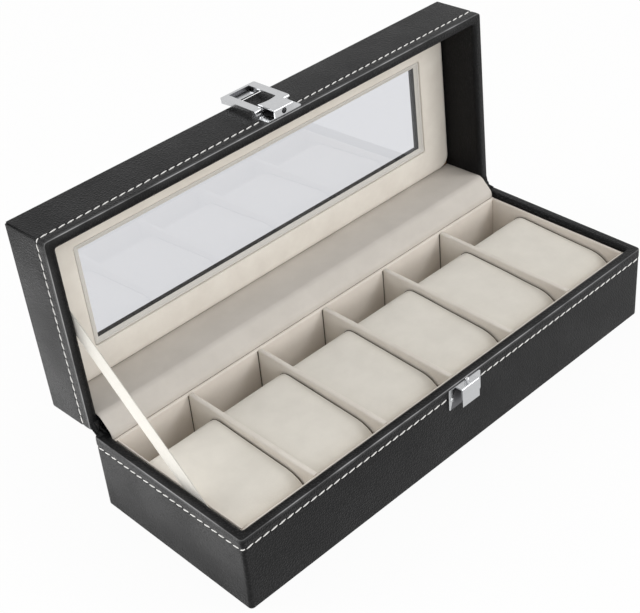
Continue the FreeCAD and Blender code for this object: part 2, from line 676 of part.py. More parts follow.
def on_open_lid(y, z):
    # A point of the shut lid, measured from the hinge line, where the open lid carries it.
    turn = FreeCAD.Rotation(FreeCAD.Vector(-1, 0, 0), value("open_angle"))
    spot = turn.multVec(FreeCAD.Vector(0, value(y), value(z)))
    return spot + FreeCAD.Vector(0, value(hinge_y), value(hinge_z))


def hinge_spine():
    # Leather along the back, glued to both back faces and bent round the hinge line.
    leg_in = "(hinge_setback - leather)"
    turn = -value("open_angle")
    axis = FreeCAD.Vector(0, value(hinge_y), value(hinge_z))
    low = value(f"{hinge_z} - spine_leg")
    outer = FreeCAD.Vector(0, value(half_depth), axis.z)
    inner = FreeCAD.Vector(0, value(f"{hinge_y} - {leg_in}"), axis.z)
    around = FreeCAD.Vector(1, 0, 0)

    def turned(spot, part):
        return FreeCAD.Rotation(around, turn * part).multVec(spot - axis) + axis

    lid_outer = on_open_lid("-hinge_setback", "spine_leg")
    lid_inner = on_open_lid(f"-{leg_in}", "spine_leg")
    path = Part.Wire([
        Part.LineSegment(FreeCAD.Vector(0, outer.y, low), outer).toShape(),
        Part.Arc(outer, turned(outer, 0.5), turned(outer, 1)).toShape(),
        Part.LineSegment(turned(outer, 1), lid_outer).toShape(),
        Part.LineSegment(lid_outer, lid_inner).toShape(),
        Part.LineSegment(lid_inner, turned(inner, 1)).toShape(),
        Part.Arc(turned(inner, 1), turned(inner, 0.5), inner).toShape(),
        Part.LineSegment(inner, FreeCAD.Vector(0, inner.y, low)).toShape(),
        Part.LineSegment(FreeCAD.Vector(0, inner.y, low), FreeCAD.Vector(0, outer.y, low)).toShape(),
    ])
    strip("hinge_spine", path, "box_length - 2 * spine_margin")


def hinge_lining():
    # Cloth from behind the back lining, across the open hinge, along the lid's back wall to its panel.
    cloth = value("hinge_cloth")
    base_wall = value(clear_y)
    base_rim = value("base_height + hinge_cloth_rise")
    foot = value("base_height - hinge_cloth_tail")
    lid_wall = f"({lid_mid} + {clear_y})"
    lid_bend = on_open_lid(lid_wall, f"{lid_rim} - hinge_cloth_rise")
    lid_end = on_open_lid(lid_wall, f"{lid_face} - glue_gap")
    lid_inside = on_open_lid(f"{lid_wall} - hinge_cloth", f"{lid_face} - glue_gap")
    under = [
        FreeCAD.Vector(0, base_wall, foot),
        FreeCAD.Vector(0, base_wall, base_rim),
        lid_bend,
        lid_end,
    ]
    # The upper face runs parallel to the lower one, a cloth's thickness away.
    slope = (under[2] - under[1]).normalize()
    lid_run = (under[3] - under[2]).normalize()
    over = [
        FreeCAD.Vector(0, base_wall - cloth, foot),
        meet(under[1], FreeCAD.Vector(0, 0, 1), slope, cloth),
        meet(under[2], slope, lid_run, cloth),
        lid_inside,
    ]
    path = Part.makePolygon(under + over[::-1] + [under[0]])
    strip("hinge_lining", path, f"2 * ({clear_x} - glue_gap)")


def meet(corner, before, after, away):
    # The mitred corner of two runs set over to the left by the same distance.
    left_before = FreeCAD.Vector(0, -before.z, before.y)
    left_after = FreeCAD.Vector(0, -after.z, after.y)
    mitre = (left_before + left_after).normalize()
    return corner + mitre * (away / mitre.dot(left_before))


def lid_ribbon():
    # A taut flat ribbon from the base's left wall to the lid's, holding the lid at its stop.
    base_y = value(f"ribbon_base_place - {half_depth}")
    base_end = FreeCAD.Vector(0, base_y, value("base_height - ribbon_base_drop"))
    lid_end = on_open_lid(f"{lid_front} + ribbon_lid_place", f"{lid_rim} + ribbon_lid_rise")
    way = (lid_end - base_end).normalize()
    across = FreeCAD.Vector(0, -way.z, way.y) * (value("ribbon_width") / 2)
    tail = way * value("ribbon_tail")
    corners = [
        base_end - tail - across,
        lid_end + tail - across,
        lid_end + tail + across,
        base_end - tail + across,
    ]
    path = Part.makePolygon(corners + corners[:1])
    strip("lid_ribbon", path, "ribbon", f"ribbon / 2 + glue_gap - {clear_x}")


base_carcass()
base_leather()
base_linings()
dividers()
cushions()
lid_carcass()
lid_leather()
lid_glazing()
catch()
clasp()
clasp_bail()
hinge_spine()
hinge_lining()
lid_ribbon()

doc.recompute()
for item in doc.Objects:
    if "Invalid" in item.State or "Error" in item.State:
        raise RuntimeError(f"{item.Label} did not build: {item.State}")
os.makedirs("parts", exist_ok=True)
for label, item in nodes.items():
    if item.Shape.isNull() or not item.Shape.isValid():
        raise RuntimeError(f"{label} has no valid shape")
    print(label, len(item.Shape.Solids), "solids", round(item.Shape.Volume, 1), "mm3")
    item.Shape.exportStep(f"parts/{label}.step")
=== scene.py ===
import bmesh
import bpy
import json
import math
from mathutils import Matrix, Quaternion, Vector, noise
from mathutils.bvhtree import BVHTree


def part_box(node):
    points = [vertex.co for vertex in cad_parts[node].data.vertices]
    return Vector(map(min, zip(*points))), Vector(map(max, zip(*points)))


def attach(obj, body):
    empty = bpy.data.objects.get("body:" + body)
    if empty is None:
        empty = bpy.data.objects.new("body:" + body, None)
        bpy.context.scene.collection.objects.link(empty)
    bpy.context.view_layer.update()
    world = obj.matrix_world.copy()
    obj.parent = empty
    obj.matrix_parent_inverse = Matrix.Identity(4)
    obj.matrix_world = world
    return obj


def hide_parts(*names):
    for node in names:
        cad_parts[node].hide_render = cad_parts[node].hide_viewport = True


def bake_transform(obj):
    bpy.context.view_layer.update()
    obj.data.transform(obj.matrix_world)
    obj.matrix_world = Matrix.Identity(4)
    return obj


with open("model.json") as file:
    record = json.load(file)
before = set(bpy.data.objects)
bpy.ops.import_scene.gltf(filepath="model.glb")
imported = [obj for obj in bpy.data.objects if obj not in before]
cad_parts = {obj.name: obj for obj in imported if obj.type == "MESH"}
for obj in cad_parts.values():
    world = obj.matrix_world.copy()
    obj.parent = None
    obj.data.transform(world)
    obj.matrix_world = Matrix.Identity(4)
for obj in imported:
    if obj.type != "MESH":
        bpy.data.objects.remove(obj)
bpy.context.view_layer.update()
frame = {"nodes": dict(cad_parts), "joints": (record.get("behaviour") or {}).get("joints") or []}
scene = bpy.context.scene
mm = 0.001  # shapes are drawn in millimetres and scaled once
near = 0.01  # points this close, in millimetres, count as level
compartments = 6  # one cushion in each, and a divider between neighbours
print("frame loaded:", len(frame["nodes"]), "nodes")

# The lid is drawn shut, measured from the hinge line, and swung open with openLid.
lidHinge = next(joint for joint in frame["joints"] if joint["name"] == "lid_hinge")
hinge = Vector(lidHinge["pos_m"]) / mm
openAngle = math.radians(-lidHinge["range_deg"][0])
openLid = Matrix.Translation(hinge) @ Matrix.Rotation(openAngle, 4, Vector(lidHinge["axis"]))


def restBox(node):
    low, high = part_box(node)
    return low / mm, high / mm


def shutBox(node):
    shut = openLid.inverted()
    spots = [shut @ (v.co / mm) for v in frame["nodes"][node].data.vertices]
    return Vector(map(min, zip(*spots))), Vector(map(max, zip(*spots)))


def hexColour(code):
    parts = [int(code[i:i + 2], 16) / 255 for i in (1, 3, 5)]
    linear = [c / 12.92 if c <= 0.04045 else ((c + 0.055) / 1.055) ** 2.4 for c in parts]
    return (*linear, 1.0)


def addNode(tree, kind, settings=None, links=None):
    node = tree.nodes.new("ShaderNode" + kind)
    for name, value in (settings or {}).items():
        if isinstance(name, int) or name in node.inputs:
            node.inputs[name].default_value = value
        else:
            setattr(node, name, value)
    for name, source in (links or {}).items():
        tree.links.new(source, node.inputs[name])
    return node


def startMaterial(name, settings):
    material = bpy.data.materials.new(name)
    material.use_nodes = True
    tree = material.node_tree
    shader = tree.nodes["Principled BSDF"]
    for socket, value in settings.items():
        shader.inputs[socket].default_value = value
    coords = addNode(tree, "TexCoord").outputs["Object"]
    return material, tree, shader, coords


def perMetre(size):  # texture cells per metre for a feature of that many millimetres
    return 1 / (size * mm)


# Embossed PVC leathercloth: deep black with a soft sheen, broken up by a fine pebble grain. It is pulled
# tight over the rim's outer edge: the grain flattens and grows glossier there, under a pale, uneven painted
# highlight.
def leathercloth():
    # The real grain is about 1.1 mm: it is drawn coarser here, so that it still shows from the camera.
    look = {"low": "#0a0a0b", "high": "#131314", "highlightPaint": "#b0b0b1", "pebble": 1.5, "warp": 2.5,
            "crease": 0.4, "wearAndHighlightPatch": 26, "depth": 0.2, "edgeGloss": 0.22}
    material, tree, shader, coords = startMaterial(
        "embossed_pvc_leathercloth", {"Specular IOR Level": 0.135})
    warp = addNode(tree, "TexNoise", {"Scale": perMetre(look["warp"]), "Detail": 2.0}, {"Vector": coords})
    bent = addNode(tree, "MixRGB", {"blend_type": "LINEAR_LIGHT", "Fac": look["crease"] * mm},
                   {"Color1": coords, "Color2": warp.outputs["Color"]})
    pebbles = addNode(tree, "TexVoronoi", {"feature": "DISTANCE_TO_EDGE", "Scale": perMetre(look["pebble"])},
                      {"Vector": bent.outputs["Color"]})
    domes = addNode(tree, "MapRange", {"interpolation_type": "SMOOTHSTEP", "From Max": 0.32},
                    {"Value": pebbles.outputs["Distance"]})
    # Painted shade and light on the grain: the creases between pebbles are darker and the pebble tops
    # lighter.
    grain = addNode(tree, "MixRGB", {"Color1": hexColour(look["low"]), "Color2": hexColour(look["high"])},
                    {"Fac": domes.outputs["Result"]})
    rubbedAndHighlightBreakup = addNode(tree, "TexNoise", {"Scale": perMetre(look["wearAndHighlightPatch"]), "Detail": 3.0}, {"Vector": coords})
    uneven = addNode(tree, "MapRange", {"From Min": 0.38, "From Max": 0.6, "To Min": 0.25},
                     {"Value": rubbedAndHighlightBreakup.outputs["Fac"]})
    rim = addNode(tree, "Attribute", {"attribute_name": "rimGlossAndHighlight"})
    edge = addNode(tree, "Math", {"operation": "MULTIPLY"},
                   {0: rim.outputs["Fac"], 1: uneven.outputs["Result"]}).outputs[0]
    # Painted highlight: the rim's outer round is coloured pale, where it would catch the light.
    shade = addNode(tree, "MixRGB", {"Color2": hexColour(look["highlightPaint"])},
                    {"Fac": edge, "Color1": grain.outputs["Color"]})
    sheen = addNode(tree, "MapRange", {"From Min": 0.3, "From Max": 0.7, "To Min": 0.32, "To Max": 0.44},
                    {"Value": rubbedAndHighlightBreakup.outputs["Fac"]})
    gloss = addNode(tree, "MapRange", {"To Max": look["edgeGloss"]},
                    {"Value": edge, "To Min": sheen.outputs["Result"]})
    relief = addNode(tree, "MapRange", {"To Min": 0.55, "To Max": 0.1}, {"Value": edge})
    bump = addNode(tree, "Bump", {"Distance": look["depth"] * mm},
                   {"Height": domes.outputs["Result"], "Strength": relief.outputs["Result"]})
    tree.links.new(shade.outputs["Color"], shader.inputs["Base Color"])
    tree.links.new(gloss.outputs["Result"], shader.inputs["Roughness"])
    tree.links.new(bump.outputs["Normal"], shader.inputs["Normal"])
    return material


# Short-pile polyester velvet: a matt cream with a faint bloom and cloudy patches where the nap lies over.
def velvet(name, dark, light):
    look = {"nap": 16, "pile": 0.7, "depth": 0.12}  # the pile's tips, about 0.2 mm, are drawn coarser
    material, tree, shader, coords = startMaterial(
        name, {"Roughness": 0.92, "Specular IOR Level": 0.2, "Sheen Weight": 0.18, "Sheen Roughness": 0.45})
    clouds = addNode(tree, "TexNoise", {"Scale": perMetre(look["nap"]), "Detail": 4.0, "Roughness": 0.6},
                     {"Vector": coords})
    soft = addNode(tree, "MapRange", {"From Min": 0.35, "From Max": 0.65}, {"Value": clouds.outputs["Fac"]})
    shade = addNode(tree, "MixRGB", {"Color1": hexColour(dark), "Color2": hexColour(light)},
                    {"Fac": soft.outputs["Result"]})
    pile = addNode(tree, "TexNoise", {"Scale": perMetre(look["pile"]), "Detail": 2.0}, {"Vector": coords})
    bump = addNode(tree, "Bump", {"Strength": 0.35, "Distance": look["depth"] * mm},
                   {"Height": pile.outputs["Fac"]})
    tree.links.new(shade.outputs["Color"], shader.inputs["Base Color"])
    tree.links.new(bump.outputs["Normal"], shader.inputs["Normal"])
    return material


# Woven satin ribbon: ivory, brighter along its length, with fine ribs that follow the ribbon's own UV map.
def satinRibbon():
    look = {"dark": "#e1ddd4", "light": "#edeae2", "rib": 0.196, "across": 10.0, "depth": 0.05}
    waves = look["across"] / look["rib"] * math.pi / 10  # a wave texture of scale 1 turns 10 / pi times
    material, tree, shader, coords = startMaterial(
        "woven_satin_ribbon", {"Roughness": 0.45, "Sheen Weight": 0.1, "Anisotropic": 0.5})
    place = addNode(tree, "TexCoord").outputs["UV"]
    ribs = addNode(tree, "TexWave", {"bands_direction": "X", "Scale": waves, "Distortion": 0.3},
                   {"Vector": place})
    shade = addNode(tree, "MixRGB", {"Color1": hexColour(look["dark"]), "Color2": hexColour(look["light"])},
                    {"Fac": ribs.outputs["Fac"]})
    bump = addNode(tree, "Bump", {"Strength": 0.3, "Distance": look["depth"] * mm},
                   {"Height": ribs.outputs["Fac"]})
    tree.links.new(shade.outputs["Color"], shader.inputs["Base Color"])
    tree.links.new(bump.outputs["Normal"], shader.inputs["Normal"])
    return material


# Float glass: clear, faintly grey, with the odd smear that only shows in its gloss.
def floatGlass():
    look = {"tint": "#dddee2", "smear": 40}
    material, tree, shader, coords = startMaterial(
        "float_glass", {"Base Color": hexColour(look["tint"]), "Transmission Weight": 1.0, "IOR": 1.5})
    smears = addNode(tree, "TexNoise", {"Scale": perMetre(look["smear"]), "Detail": 4.0}, {"Vector": coords})
    gloss = addNode(tree, "MapRange", {"From Min": 0.55, "From Max": 0.8, "To Min": 0.0, "To Max": 0.06},
                    {"Value": smears.outputs["Fac"]})
    tree.links.new(gloss.outputs["Result"], shader.inputs["Roughness"])
    return material


# Bright nickel-chrome plate on pressed steel: mirror-like but slightly frosted by the press.
def chromePlate():
    look = {"dark": "#b4b5b7", "light": "#cfd0d1", "frost": 0.6}  # frost of about 0.1 mm, drawn coarser
    material, tree, shader, coords = startMaterial("chrome_plated_pressed_steel", {"Metallic": 1.0})
    grain = addNode(tree, "TexNoise", {"Scale": perMetre(look["frost"]), "Detail": 2.0}, {"Vector": coords})
    shade = addNode(tree, "MixRGB", {"Color1": hexColour(look["dark"]), "Color2": hexColour(look["light"])},
                    {"Fac": grain.outputs["Fac"]})
    gloss = addNode(tree, "MapRange", {"To Min": 0.16, "To Max": 0.3}, {"Value": grain.outputs["Fac"]})
    tree.links.new(shade.outputs["Color"], shader.inputs["Base Color"])
    tree.links.new(gloss.outputs["Result"], shader.inputs["Roughness"])
    return material


# Plated steel inside the folds: its dark colour is painted shade and painted dark reflection, and it is
# dull.
def shadedSteel():
    look = {"dark": "#58585b", "light": "#77777a", "frost": 0.6}  # drawn coarser, as on the plate
    material, tree, shader, coords = startMaterial(
        "fold_shade_plated_steel", {"Metallic": 1.0, "Roughness": 0.5})
    grain = addNode(tree, "TexNoise", {"Scale": perMetre(look["frost"]), "Detail": 2.0}, {"Vector": coords})
    shade = addNode(tree, "MixRGB", {"Color1": hexColour(look["dark"]), "Color2": hexColour(look["light"])},
                    {"Fac": grain.outputs["Fac"]})
    tree.links.new(shade.outputs["Color"], shader.inputs["Base Color"])
    return material


# Mottled matt stuffs: bonded polyester thread, raw fibreboard, needled felt and covered card. Their flecks,
# in millimetres, are fibres drawn as coarse as they need to show.
def matt(name, dark, light, fleck, depth, roughness):
    material, tree, shader, coords = startMaterial(name, {"Roughness": roughness, "Specular IOR Level": 0.3})
    flecks = addNode(tree, "TexNoise", {"Scale": perMetre(fleck), "Detail": 3.0}, {"Vector": coords})
    shade = addNode(tree, "MixRGB", {"Color1": hexColour(dark), "Color2": hexColour(light)},
                    {"Fac": flecks.outputs["Fac"]})
    bump = addNode(tree, "Bump", {"Strength": 0.4, "Distance": depth * mm},
                   {"Height": flecks.outputs["Fac"]})
    tree.links.new(shade.outputs["Color"], shader.inputs["Base Color"])
    tree.links.new(bump.outputs["Normal"], shader.inputs["Normal"])
    return material


leather = leathercloth()
liningVelvet = velvet("cream_lining_velvet", "#dfd7cd", "#e5ddd3")
cushionVelvet = velvet("ivory_cushion_velvet", "#e4dfd5", "#eae5db")
panelVelvet = velvet("pale_panel_velvet", "#e0d9cf", "#e7e1d7")
# A greyer copy of the lining velvet for the hinge cloth: the grey is painted shade.
shadedHingeVelvet = velvet("shaded_hinge_velvet", "#cec8c0", "#d4cec6")
ribbonSatin = satinRibbon()
glass = floatGlass()
chrome = chromePlate()
foldShade = shadedSteel()
thread = matt("bonded_polyester_thread", "#f0eeea", "#fbfaf8", fleck=0.4, depth=0.08, roughness=0.6)
# Dark brown cords that are painted shadow along the gaps at seams.
seamShadowCord = matt("painted_seam_shadow", "#3d352c", "#544a3e", fleck=0.4, depth=0.08, roughness=0.8)
fibreboard = matt("medium_density_fibreboard", "#7d6248", "#9a7c5e", fleck=1.2, depth=0.1, roughness=0.85)
felt = matt("needled_black_felt", "#121213", "#222224", fleck=0.8, depth=0.3, roughness=0.95)
coveredCard = matt("grey_covered_card", "#ccc8c1", "#d6d3cd", fleck=0.9, depth=0.05, roughness=0.7)
print("materials made:", len(bpy.data.materials))


def makePiece(name, bm, material, body, sharp=40, onLid=False):
    if onLid:
        bmesh.ops.transform(bm, matrix=openLid, verts=bm.verts)
    bmesh.ops.scale(bm, vec=(mm, mm, mm), verts=bm.verts)
    mesh = bpy.data.meshes.new(name)
    bm.to_mesh(mesh)
    bm.free()
    mesh.shade_smooth()
    mesh.set_sharp_from_angle(angle=math.radians(sharp))
    mesh.materials.append(material)
    piece = bpy.data.objects.new(name, mesh)
    scene.collection.objects.link(piece)
    if body:
        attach(piece, body)
    return piece


def thicken(piece, wall):
    shell = piece.modifiers.new("thickness", "SOLIDIFY")
    shell.thickness = wall * mm
    shell.offset = -1
    even = piece.modifiers.new("flatFaces", "WEIGHTED_NORMAL")  # keeps flat walls flat beside their rounds
    even.keep_sharp = True


def refine(piece):
    finer = piece.modifiers.new("refine", "SUBSURF")
    finer.levels = finer.render_levels = 1


def roundOff(bm, edges, radius, segments):
    bmesh.ops.bevel(bm, geom=edges, offset=radius, offset_type="OFFSET", segments=segments, profile=0.5,
                    affect="EDGES", material=-1)


def cutAlong(bm, axis, cuts, least):
    edges = [e for e in bm.edges if abs((e.verts[0].co - e.verts[1].co)[axis]) > least]
    bmesh.ops.subdivide_edges(bm, edges=edges, cuts=cuts)


def roundedRing(bm, halfX, halfY, z, radius):
    made = bmesh.ops.create_grid(bm, x_segments=1, y_segments=1, size=1)
    shape = Matrix.Translation((0, 0, z)) @ Matrix.Diagonal((halfX, halfY, 1, 1))
    bmesh.ops.transform(bm, matrix=shape, verts=made["verts"])
    bmesh.ops.bevel(bm, geom=made["verts"], offset=radius, offset_type="OFFSET", segments=4, profile=0.5,
                    affect="VERTICES", material=-1)
    face = next(iter(bm.faces))
    edges = list(face.edges)
    bmesh.ops.delete(bm, geom=[face], context="FACES_ONLY")
    return edges


def loftRings(rings, closed=False):
    # Rounded rectangles of edges, each (half length, half depth, height, corner), bridged in turn. They are
    # drawn apart and set to their heights at the end, so that level rings bridge straight.
    apart = 100
    bm = bmesh.new()
    spread = [(x, y, apart * i, corner) for i, (x, y, z, corner) in enumerate(rings)]
    loops = [roundedRing(bm, *ring) for ring in spread]
    pairs = list(zip(loops, loops[1:])) + ([(loops[-1], loops[0])] if closed else [])
    for one, other in pairs:
        bmesh.ops.bridge_loops(bm, edges=one + other)
    for edges, ring in zip(loops, rings):
        for v in {v for e in edges for v in e.verts}:
            v.co.z = ring[2]
    return bm, loops


# Leathercloth covers: one wrapped skin each, drawn in along the row of stitches under the rim.
sewing = {"inset": 6.0, "endStitches": 21, "frontStitches": 59, "gap": 0.6, "width": 0.8, "rise": 0.8,
          "sink": 0.05, "slant": -9, "clear": 0.7, "sides": 6, "rings": 6}
skin = {"wall": 0.7, "corner": 2.0, "innerCorner": 0.8, "groove": 0.25, "pucker": 0.14, "grooveWidth": 1.3,
        "puff": 0.15, "rimRound": 0.45, "innerRound": 2.4, "footRound": 0.9, "footLap": 8, "turnIn": 12,
        "topRound": 0.8, "lidCorner": 1.2, "foldInset": 0.76, "foldNear": 0.05, "edge": 1, "longEdge": 40}
opening = {"inset": 1.2, "corner": 0.8, "round": 0.8, "paneGap": 0.1}  # the window in the lid's cover
baseLow, baseHigh = restBox("base_leather")
lidLow, lidHigh = shutBox("lid_leather")
lidMiddle = Vector((0, (lidLow.y + lidHigh.y) / 2, 0))
halfX, halfY = baseHigh.x, baseHigh.y
rimWidth = halfY + restBox("front_lining")[0].y
sideRun = 2 * (halfY - skin["corner"])
frontRun = 2 * (halfX - skin["corner"])
cornerRun = skin["corner"] * math.pi / 2


def sewnWall(rim, inwards, wallCorner):
    # Rings from the plain wall to the rim; inwards is the way from the rim into the wall, up or down.
    stitch = rim + inwards * sewing["inset"]
    corner, spread = skin["corner"], skin["grooveWidth"] * inwards
    deep, puff = -skin["groove"], skin["puff"]
    return [
        (halfX, halfY, stitch + spread, wallCorner),
        (halfX + deep, halfY + deep, stitch, corner + deep),
        (halfX + puff, halfY + puff, stitch - spread, corner + puff),
        (halfX + puff, halfY + puff, rim + inwards * sewing["inset"] / 3, corner + puff),
        (halfX, halfY, rim, corner),
        (halfX - rimWidth, halfY - rimWidth, rim, skin["innerCorner"]),
    ]


def puckerStitches(bm, height):
    # The groove dips at each needle hole and rises under each stitch.
    runs = ((0, halfX, sewing["frontStitches"]), (1, halfY, sewing["endStitches"]))
    for v in bm.verts:
        if abs(v.co.z - height) > near:
            continue
        for axis, half, count in runs:
            straight = half - skin["corner"]
            across = 1 - axis
            if abs(v.co[axis]) < straight + near and abs(v.co[across]) > runs[across][1] - skin["edge"]:
                wave = math.cos(math.pi * (v.co[axis] + straight) / straight * count)
                v.co[across] -= math.copysign(skin["pucker"] * wave, v.co[across])


def finishCover(name, bm, rim, inwards, body, node, onLid):
    cutAlong(bm, 0, 2 * sewing["frontStitches"] - 1, skin["longEdge"])
    cutAlong(bm, 1, 2 * sewing["endStitches"] - 1, skin["longEdge"])
    puckerStitches(bm, rim + inwards * sewing["inset"])
    bmesh.ops.recalc_face_normals(bm, faces=bm.faces)
    bm.normal_update()
    # The rim's outer round is marked for a glossier finish and a painted highlight.
    rimGlossAndHighlight = bm.verts.layers.float.new("rimGlossAndHighlight")
    for v in bm.verts:  # 1 on the outer round of the rim, 0 elsewhere
        if abs(v.co.z - rim) < skin["edge"] and v.normal.xy.dot(v.co.xy) > 0:
            v[rimGlossAndHighlight] = 4 * v.normal.z ** 2 * (1 - v.normal.z ** 2)
    if onLid:
        bmesh.ops.translate(bm, vec=lidMiddle, verts=bm.verts)
    cover = makePiece(name, bm, leather, body, sharp=50, onLid=onLid)
    thicken(cover, skin["wall"])
    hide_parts(node)


def baseCover():
    lap, rim = skin["footLap"], baseHigh.z
    rings = [
        (halfX - lap, halfY - lap, baseLow.z, skin["innerCorner"]),
        (halfX, halfY, baseLow.z, skin["corner"]),
        *sewnWall(rim, -1, skin["corner"]),
        (halfX - rimWidth, halfY - rimWidth, rim - skin["turnIn"], skin["innerCorner"]),
    ]
    bm, loops = loftRings(rings)
    roundOff(bm, loops[1], skin["footRound"], 3)
    roundOff(bm, loops[-2], skin["innerRound"], 5)
    roundOff(bm, loops[-3], skin["rimRound"], 3)
    finishCover("base_cover", bm, rim, -1, "base", "base_leather", False)


def lidCover():
    pane = shutBox("window_pane")[1]
    frameEdge = shutBox("window_bezel")[1]
    windowX, windowY = frameEdge.x - opening["inset"], frameEdge.y - lidMiddle.y - opening["inset"]
    rings = [
        (windowX, windowY, pane.z, opening["corner"]),
        (windowX, windowY, lidHigh.z, opening["corner"]),
        (halfX, halfY, lidHigh.z, skin["lidCorner"]),
        *sewnWall(lidLow.z, 1, skin["lidCorner"]),
        (halfX - rimWidth, halfY - rimWidth, pane.z - opening["paneGap"], skin["innerCorner"]),
    ]
    bm, loops = loftRings(rings)
    for v in bm.verts:  # the covering of the ends meets the front's in a fold down each corner
        inX, inY = halfX - abs(v.co.x), halfY - abs(v.co.y)
        onFold = inX < skin["edge"] and abs(inX - inY) < skin["foldNear"]
        if onFold and v.co.z > lidLow.z + sewing["inset"]:
            v.co.x = math.copysign(halfX - skin["foldInset"], v.co.x)
            v.co.y = math.copysign(halfY - skin["foldInset"], v.co.y)
    roundOff(bm, loops[1], opening["round"], 3)
    roundOff(bm, loops[2], skin["topRound"], 4)
    roundOff(bm, loops[-2], skin["innerRound"], 5)
    roundOff(bm, loops[-3], skin["rimRound"], 3)
    finishCover("lid_cover", bm, lidLow.z, 1, "lid", "lid_leather", True)


baseCover()
lidCover()
print("leather covers made")


# White stitching: one ellipsoid of thread for each stitch, bent round the corners.
def alongRim(s):
    # Place and outward way at a distance round the left end, the front and the right end.
    corner = skin["corner"]
    side, front, arc = sideRun, frontRun, cornerRun
    if s < side:
        return Vector((-halfX, halfY - corner - s, 0)), Vector((-1, 0, 0))
    if s < side + arc:
        turn = (s - side) / corner
        out = Vector((-math.cos(turn), -math.sin(turn), 0))
        return Vector((corner - halfX, corner - halfY, 0)) + corner * out, out
    if s < side + arc + front:
        return Vector((corner - halfX + s - side - arc, -halfY, 0)), Vector((0, -1, 0))
    if s < side + 2 * arc + front:
        turn = (s - side - arc - front) / corner
        out = Vector((math.sin(turn), -math.cos(turn), 0))
        return Vector((halfX - corner, corner - halfY, 0)) + corner * out, out
    return Vector((halfX, corner - halfY + s - side - 2 * arc - front, 0)), Vector((1, 0, 0))


def stitching(name, height, body, onLid, plate):
    ends, turned = (sideRun, sewing["endStitches"]), (cornerRun, 1)
    runs = [ends, turned, (frontRun, sewing["frontStitches"]), turned, ends]
    thick, high = sewing["rise"] / 2, sewing["width"] / 2
    bm = bmesh.new()
    start = 0
    for run, count in runs:
        pitch = run / count
        for i in range(count):
            middle = start + (i + 0.5) * pitch
            if run == frontRun and abs(alongRim(middle)[0].x) < plate + sewing["clear"]:
                continue
            shape = (Matrix.Translation((middle, 0, 0))
                     @ Matrix.Rotation(math.radians(sewing["slant"]), 4, "Y")
                     @ Matrix.Diagonal(((pitch - sewing["gap"]) / 2, thick, high, 1))
                     @ Matrix.Rotation(math.pi / 2, 4, "Y"))
            bmesh.ops.create_uvsphere(bm, u_segments=sewing["sides"], v_segments=sewing["rings"], radius=1,
                                      matrix=shape)
        start += run
    for v in bm.verts:
        place, out = alongRim(v.co.x)
        v.co = place + out * (v.co.y - sewing["sink"]) + Vector((0, 0, height + v.co.z))
    if onLid:
        bmesh.ops.translate(bm, vec=lidMiddle, verts=bm.verts)
    bmesh.ops.recalc_face_normals(bm, faces=bm.faces)
    makePiece(name, bm, thread, body, sharp=80, onLid=onLid)


plateHalf = restBox("catch_bracket")[1].x
stitching("base_stitching", baseHigh.z - sewing["inset"], "base", False, plateHalf)
stitching("lid_stitching", lidLow.z + sewing["inset"], "lid", True, plateHalf)
print("stitching made")


def shadowCords(name, runs, radius, closed, body):
    # Thin dark cords along runs of points: painted shadow lines for the gaps at seams.
    line = bpy.data.curves.new(name, "CURVE")
    line.dimensions = "3D"
    line.bevel_depth = radius * mm
    line.bevel_resolution = 1
    for points in runs:
        run = line.splines.new("POLY")
        run.points.add(len(points) - 1)
        run.use_cyclic_u = closed
        for dot, spot in zip(run.points, points):
            dot.co = (*(Vector(spot) * mm), 1)
    rough = bpy.data.objects.new("rough", line)
    mesh = bpy.data.meshes.new_from_object(rough)
    bpy.data.objects.remove(rough)
    mesh.materials.clear()
    mesh.materials.append(seamShadowCord)
    mesh.shade_smooth()
    seam = bpy.data.objects.new(name, mesh)
    scene.collection.objects.link(seam)
    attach(seam, body)


# Padded linings and dividers: velvet over card, soft along the top and slightly uneven.
padding = {"topRound": 0.95, "dividerRound": 0.9, "floorRound": 0.3, "edgeRound": 0.35, "sharpAngle": 0.9,
           "cell": 6, "swell": 0.22, "uneven": 0.12, "wave": 28, "seedStep": 17.3, "gap": 0.45,
           "ribbonGap": 0.1}


def paddedSlab(name, low, high, top, node, seed, cloth=liningVelvet):
    bm = bmesh.new()
    size, centre = high - low, (low + high) / 2
    bmesh.ops.create_cube(bm, size=1, matrix=Matrix.Translation(centre) @ Matrix.Diagonal((*size, 1)))
    thin = min(range(3), key=lambda axis: size[axis])
    upper = [e for e in bm.edges if all(v.co.z > high.z - near for v in e.verts)
             and abs((e.verts[0].co - e.verts[1].co)[thin]) < near]
    roundOff(bm, upper, top, 4)
    rest = [e for e in bm.edges if e.calc_face_angle(0) > padding["sharpAngle"]]
    roundOff(bm, rest, padding["edgeRound"], 2)
    for axis in range(3):
        if axis != thin:
            count = int(size[axis] / padding["cell"])
            cutAlong(bm, axis, count - 1, size[axis] / 2)
    aside = Vector((seed * padding["seedStep"], 0, 0))
    for v in bm.verts:
        wave = noise.noise(aside + v.co / padding["wave"]) * padding["uneven"]
        inside = 1.0
        for axis in range(3):
            if axis != thin:
                inside *= max(0.0, 1 - ((v.co[axis] - centre[axis]) / size[axis] * 2) ** 4)
        way = math.copysign(1, v.co[thin] - centre[thin])
        v.co[thin] += wave + way * padding["swell"] * inside
    bmesh.ops.recalc_face_normals(bm, faces=bm.faces)
    piece = makePiece(name, bm, cloth, "base", sharp=60)
    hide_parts(node)


